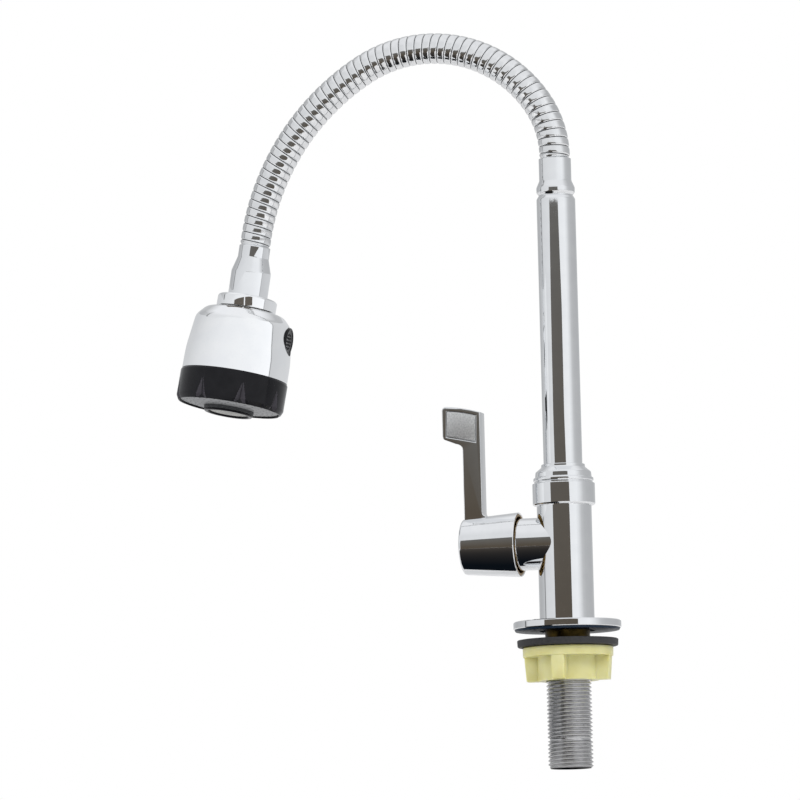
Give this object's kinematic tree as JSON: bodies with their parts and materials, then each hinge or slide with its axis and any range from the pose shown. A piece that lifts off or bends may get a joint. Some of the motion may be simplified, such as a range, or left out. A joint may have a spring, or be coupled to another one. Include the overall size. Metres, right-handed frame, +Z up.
{
  "type": "kitchen tap",
  "caption": "Single-lever pillar kitchen tap with a swivelling riser, a ribbed flexible gooseneck hose and a tilting, turning spray head.",
  "frame": {"origin": "on the axis of the threaded tail, in the plane of the worktop under the base gasket", "axes": "+Z up along the riser; the lever branch and the spout reach towards -X at rest"},
  "size_m": [0.2082, 0.0539, 0.3462],
  "materials": {
    "black_plastic": "glossy black",
    "brass": "bare brass",
    "ceramic_white": "lapped ceramic",
    "charcoal_rubber": "matt rubber",
    "chrome": "mirror polished chrome plate",
    "chromed_plastic": "chrome plated plastic",
    "dark_plastic": "fine textured dark",
    "dark_steel": "blackened",
    "green_plastic": "cloudy moulded plastic",
    "grey_plastic": "satin grey",
    "hose_steel": "wound stainless strip, polished",
    "liner_rubber": "smooth hose liner",
    "navy_rubber": "dark glossy gasket",
    "silver_inlay": "matt sand-cast silver",
    "steel_thread": "turned thread, satin",
    "white_plastic": "plain moulded"
  },
  "bodies": {
    "base": {"flange_gasket": "navy_rubber", "base_flange": "chrome", "inlet_shank": "steel_thread", "tap_body": "chrome", "collar_nut": "chrome", "swivel_ring": "white_plastic", "cartridge_shell": "brass", "gland_nut": "brass", "seat_seal": "charcoal_rubber", "fixed_ceramic_disc": "ceramic_white"},
    "clamp_washer": {"rubber_washer": "charcoal_rubber"},
    "clamp_nut": {"backnut": "green_plastic"},
    "lever": {"lever_handle": "chrome", "lever_inlay": "silver_inlay", "hub_bush": "brass", "moving_ceramic_disc": "ceramic_white", "spindle": "brass", "handle_grub_screw": "dark_steel"},
    "spout": {"riser_tube": "chrome", "riser_foot": "brass", "swivel_o_ring_lower": "charcoal_rubber", "swivel_o_ring_upper": "charcoal_rubber", "riser_hose_ferrule": "chrome", "hose_stretch_1": "hose_steel", "hose_liner_1": "liner_rubber"},
    "hose_2": {"hose_stretch_2": "hose_steel", "hose_liner_2": "liner_rubber"},
    "hose_3": {"hose_stretch_3": "hose_steel", "hose_liner_3": "liner_rubber"},
    "hose_4": {"hose_stretch_4": "hose_steel", "hose_liner_4": "liner_rubber"},
    "hose_5": {"hose_stretch_5": "hose_steel", "hose_liner_5": "liner_rubber"},
    "hose_6": {"hose_stretch_6": "hose_steel", "hose_liner_6": "liner_rubber"},
    "hose_7": {"hose_stretch_7": "hose_steel", "hose_liner_7": "liner_rubber", "head_hose_ferrule": "chrome"},
    "head_joint": {"head_collar_ring": "chromed_plastic", "ball_seat": "white_plastic"},
    "spray_head": {"head_shell": "chromed_plastic", "head_core": "white_plastic", "snap_ring": "dark_steel", "grip_ring": "black_plastic", "nozzle_plate": "grey_plastic", "aerator_housing": "dark_plastic", "aerator_insert": "grey_plastic", "face_seal": "charcoal_rubber"},
    "spray_shuttle": {"shuttle_rod": "white_plastic", "shuttle_o_ring_left": "charcoal_rubber", "shuttle_o_ring_right": "charcoal_rubber", "push_button_left": "black_plastic", "push_button_right": "black_plastic"}
  },
  "joints": [
    {"name": "spout_swivel", "type": "hinge", "parent": "base", "child": "spout", "pos_m": [0, 0, 0.06], "axis": [0, 0, 1], "continuous": true},
    {"name": "lever_turn", "type": "hinge", "parent": "base", "child": "lever", "pos_m": [-0.03, 0, 0.041], "axis": [1, 0, 0], "range_deg": [0, 90]},
    {"name": "hose_bend_1", "type": "hinge", "parent": "spout", "child": "hose_2", "pos_m": [-0.00325, 0, 0.23866], "axis": [0, 1, 0], "range_deg": [-12, 12]},
    {"name": "hose_sway_2", "type": "hinge", "parent": "hose_2", "child": "hose_3", "pos_m": [-0.02721, 0, 0.26623], "axis": [0.5232, 0, 0.8522], "range_deg": [-12, 12]},
    {"name": "hose_bend_3", "type": "hinge", "parent": "hose_3", "child": "hose_4", "pos_m": [-0.06264, 0, 0.27535], "axis": [0, 1, 0], "range_deg": [-12, 12]},
    {"name": "hose_sway_4", "type": "hinge", "parent": "hose_4", "child": "hose_5", "pos_m": [-0.09717, 0, 0.26312], "axis": [-0.5598, 0, 0.8287], "range_deg": [-12, 12]},
    {"name": "hose_bend_5", "type": "hinge", "parent": "hose_5", "child": "hose_6", "pos_m": [-0.12396, 0, 0.23766], "axis": [0, 1, 0], "range_deg": [-12, 12]},
    {"name": "hose_sway_6", "type": "hinge", "parent": "hose_6", "child": "hose_7", "pos_m": [-0.14101, 0, 0.20486], "axis": [-0.9512, 0, 0.3084], "range_deg": [-12, 12]},
    {"name": "head_tilt", "type": "hinge", "parent": "hose_7", "child": "head_joint", "pos_m": [-0.15102, 0, 0.15431], "axis": [0, 1, 0], "range_deg": [-12, 12]},
    {"name": "head_spin", "type": "hinge", "parent": "head_joint", "child": "spray_head", "pos_m": [-0.15102, 0, 0.15431], "axis": [-0.173, -0.0872, -0.9811], "continuous": true},
    {"name": "spray_push", "type": "slide", "parent": "spray_head", "child": "spray_shuttle", "axis": [0.9848, 0, -0.1736], "range_m": [-0.002, 0]},
    {"name": "backnut_travel", "type": "slide", "parent": "base", "child": "clamp_washer", "axis": [0, 0, 1], "range_m": [-0.0395, 0.0036]},
    {"name": "backnut_turn", "type": "hinge", "parent": "clamp_washer", "child": "clamp_nut", "pos_m": [0, 0, -0.015], "axis": [0, 0, 1], "range_deg": [-7820, 700]}
  ],
  "couplings": [
    {"joint": "backnut_travel", "follows": "backnut_turn", "m_per_rad": 0.00028875}
  ]
}
